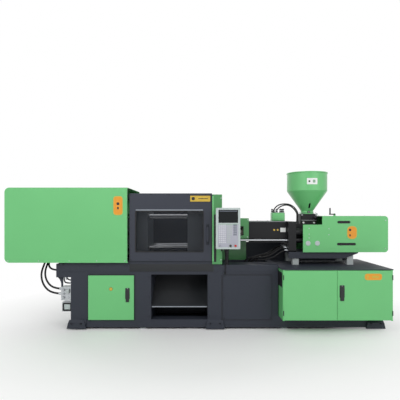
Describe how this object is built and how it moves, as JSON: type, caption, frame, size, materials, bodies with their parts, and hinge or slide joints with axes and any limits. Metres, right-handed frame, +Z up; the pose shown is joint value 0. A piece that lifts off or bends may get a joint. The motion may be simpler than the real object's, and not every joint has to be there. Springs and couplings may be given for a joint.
{
  "type": "injection moulding machine",
  "caption": "Horizontal plastic injection moulding machine: toggle clamp under a cover, sliding doors, heated barrel with hopper, electric cabinet and swivelling controller.",
  "frame": {"origin": "centre of the footprint on the floor", "axes": "+X along the machine from clamp to injection end, operator on the -Y side, +Z up"},
  "size_m": [4.846, 1.1436, 2],
  "materials": {
    "cover_green": "smooth light green paint",
    "frame_dark": "dark blue-grey textured paint",
    "door_grey": "dark grey satin paint",
    "guard_black": "near-black paint",
    "platen_grey": "painted casting with machined faces",
    "machined_steel": "machined steel",
    "chromed_rod": "hard chrome",
    "zinc_steel": "zinc plated",
    "pane": "clear safety sheet",
    "light_grey": "light grey paint",
    "panel_grey": "light grey moulded plastic",
    "hose_black": "matt black rubber",
    "button_red": "glossy red",
    "button_black": "glossy black",
    "latch_black": "matt black",
    "chute_grey": "dark grey paint"
  },
  "bodies": {
    "machine": {"clamp_bed": "frame_dark", "injection_bed": "frame_dark", "deck": "frame_dark", "product_chute": "chute_grey", "levelling_feet": "zinc_steel", "power_unit": "light_grey", "fixed_platen": "platen_grey", "tail_platen": "platen_grey", "tie_bars": "chromed_rod", "clamp_cylinder": "light_grey", "clamp_cover": "cover_green", "platen_guard": "cover_green", "door_rails": "frame_dark", "carriage_guides": "light_grey", "controller_post": "frame_dark", "electric_cabinet": "cover_green", "switchgear": "light_grey", "purge_stand": "cover_green", "oil_manifold": "zinc_steel", "clamp_hoses": "hose_black", "carriage_rods": "chromed_rod"},
    "carriage": {"carriage": "frame_dark", "feed_block": "guard_black", "barrel": "machined_steel", "nozzle": "machined_steel", "heater_bands": "zinc_steel", "barrel_guard": "guard_black", "hopper": "cover_green", "hopper_base": "guard_black", "junction_box": "cover_green", "injection_cover": "cover_green", "hydraulic_cylinders": "guard_black", "carriage_hoses": "hose_black"},
    "screw_drive": {"screw_drive": "platen_grey", "hydraulic_motor": "light_grey"},
    "front_door": {"front_door": "door_grey", "front_door_pane": "pane"},
    "rear_door": {"rear_door": "door_grey", "rear_door_pane": "door_grey"},
    "upper_rear_link": {"upper_rear_link": "machined_steel"},
    "upper_front_link": {"upper_front_link": "machined_steel"},
    "upper_crosshead_link": {"upper_crosshead_link": "machined_steel"},
    "lower_rear_link": {"lower_rear_link": "machined_steel"},
    "lower_front_link": {"lower_front_link": "machined_steel"},
    "lower_crosshead_link": {"lower_crosshead_link": "machined_steel"},
    "crosshead": {"crosshead": "machined_steel"},
    "moving_platen": {"moving_platen": "platen_grey"},
    "ejector_rod": {"ejector_rod": "chromed_rod"},
    "screw": {"screw": "machined_steel"},
    "hopper_gate": {"hopper_gate": "zinc_steel"},
    "purge_guard": {"purge_guard": "cover_green"},
    "cover_crank": {"cover_crank": "latch_black"},
    "controller": {"controller": "panel_grey"},
    "start_button": {"start_button": "button_black"},
    "stop_button": {"stop_button": "button_red"},
    "cabinet_door_left": {"cabinet_door_left": "cover_green"},
    "cabinet_door_right": {"cabinet_door_right": "cover_green"},
    "cabinet_latch": {"cabinet_latch": "latch_black"},
    "base_door": {"base_door": "cover_green"},
    "base_latch": {"base_latch": "latch_black"}
  },
  "joints": [
    {"name": "toggle_fold", "type": "hinge", "parent": "machine", "child": "upper_rear_link", "pos_m": [-1.49102, 0.0985, 1.325], "axis": [0, -1, 0], "range_deg": [-42, 20]},
    {"name": "upper_knee", "type": "hinge", "parent": "upper_rear_link", "child": "upper_front_link", "pos_m": [-1.23929, 0.0985, 1.57673], "axis": [0, -1, 0], "range_deg": [-40, 84]},
    {"name": "platen_pivot", "type": "hinge", "parent": "upper_front_link", "child": "moving_platen", "pos_m": [-0.98756, 0.0985, 1.325], "axis": [0, -1, 0], "range_deg": [-42, 20]},
    {"name": "lower_fold", "type": "hinge", "parent": "machine", "child": "lower_rear_link", "pos_m": [-1.49102, 0.0985, 1.085], "axis": [0, -1, 0], "range_deg": [-20, 42]},
    {"name": "lower_knee", "type": "hinge", "parent": "lower_rear_link", "child": "lower_front_link", "pos_m": [-1.23929, 0.0985, 0.83327], "axis": [0, -1, 0], "range_deg": [-84, 40]},
    {"name": "upper_arm_pivot", "type": "hinge", "parent": "upper_rear_link", "child": "upper_crosshead_link", "pos_m": [-1.37082, 0.0985, 1.44521], "axis": [0, -1, 0], "range_deg": [-40, 84]},
    {"name": "crosshead_pivot", "type": "hinge", "parent": "upper_crosshead_link", "child": "crosshead", "pos_m": [-1.25061, 0.0985, 1.325], "axis": [0, -1, 0], "range_deg": [-42, 20]},
    {"name": "lower_arm_pivot", "type": "hinge", "parent": "lower_rear_link", "child": "lower_crosshead_link", "pos_m": [-1.37082, 0.0985, 0.96479], "axis": [0, -1, 0], "range_deg": [-84, 40]},
    {"name": "ejector_stroke", "type": "slide", "parent": "moving_platen", "child": "ejector_rod", "axis": [1, 0, 0], "range_m": [0, 0.1]},
    {"name": "front_door_slide", "type": "slide", "parent": "machine", "child": "front_door", "axis": [-1, 0, 0], "range_m": [0, 0.65]},
    {"name": "rear_door_slide", "type": "slide", "parent": "machine", "child": "rear_door", "axis": [-1, 0, 0], "range_m": [0, 0.65]},
    {"name": "carriage_slide", "type": "slide", "parent": "machine", "child": "carriage", "axis": [-1, 0, 0], "range_m": [0, 0.25]},
    {"name": "injection_stroke", "type": "slide", "parent": "carriage", "child": "screw_drive", "axis": [1, 0, 0], "range_m": [0, 0.18]},
    {"name": "screw_turn", "type": "hinge", "parent": "screw_drive", "child": "screw", "pos_m": [1.76, 0.0985, 1.205], "axis": [1, 0, 0], "continuous": true},
    {"name": "gate_slide", "type": "slide", "parent": "carriage", "child": "hopper_gate", "axis": [1, 0, 0], "range_m": [0, 0.075]},
    {"name": "purge_guard_hinge", "type": "hinge", "parent": "machine", "child": "purge_guard", "pos_m": [0.4615, 0.2565, 1.379], "axis": [-1, 0, 0], "range_deg": [0, 95]},
    {"name": "crank_turn", "type": "hinge", "parent": "carriage", "child": "cover_crank", "pos_m": [1.795, -0.0015, 1.44], "axis": [0, 0, 1], "continuous": true},
    {"name": "controller_swivel", "type": "hinge", "parent": "machine", "child": "controller", "pos_m": [0.338, -0.4065, 1.235], "axis": [0, 0, 1], "range_deg": [-30, 60]},
    {"name": "start_press", "type": "slide", "parent": "controller", "child": "start_button", "axis": [0, 1, 0], "range_m": [0, 0.004], "stiffness_N_per_m": 400, "springref_m": -0.001},
    {"name": "stop_press", "type": "slide", "parent": "controller", "child": "stop_button", "axis": [0, 1, 0], "range_m": [0, 0.004], "stiffness_N_per_m": 400, "springref_m": -0.001},
    {"name": "cabinet_door_left_hinge", "type": "hinge", "parent": "machine", "child": "cabinet_door_left", "pos_m": [0.997, -0.5518, 0.473], "axis": [0, 0, -1], "range_deg": [0, 110]},
    {"name": "cabinet_door_right_hinge", "type": "hinge", "parent": "machine", "child": "cabinet_door_right", "pos_m": [2.288, -0.5518, 0.473], "axis": [0, 0, 1], "range_deg": [0, 110]},
    {"name": "cabinet_latch_turn", "type": "hinge", "parent": "cabinet_door_right", "child": "cabinet_latch", "pos_m": [1.69, -0.5615, 0.52], "axis": [0, 1, 0], "range_deg": [0, 90]},
    {"name": "base_door_hinge", "type": "hinge", "parent": "machine", "child": "base_door", "pos_m": [-1.387, -0.3318, 0.4], "axis": [0, 0, -1], "range_deg": [0, 110]},
    {"name": "base_latch_turn", "type": "hinge", "parent": "base_door", "child": "base_latch", "pos_m": [-0.904, -0.3415, 0.45], "axis": [0, 1, 0], "range_deg": [0, 90]}
  ],
  "couplings": [
    {"joint": "upper_knee", "follows": "toggle_fold", "ratio": -2},
    {"joint": "platen_pivot", "follows": "toggle_fold", "ratio": 1},
    {"joint": "lower_fold", "follows": "toggle_fold", "ratio": -1},
    {"joint": "lower_knee", "follows": "toggle_fold", "ratio": 2},
    {"joint": "upper_arm_pivot", "follows": "toggle_fold", "ratio": -2},
    {"joint": "crosshead_pivot", "follows": "toggle_fold", "ratio": 1},
    {"joint": "lower_arm_pivot", "follows": "toggle_fold", "ratio": 2}
  ]
}
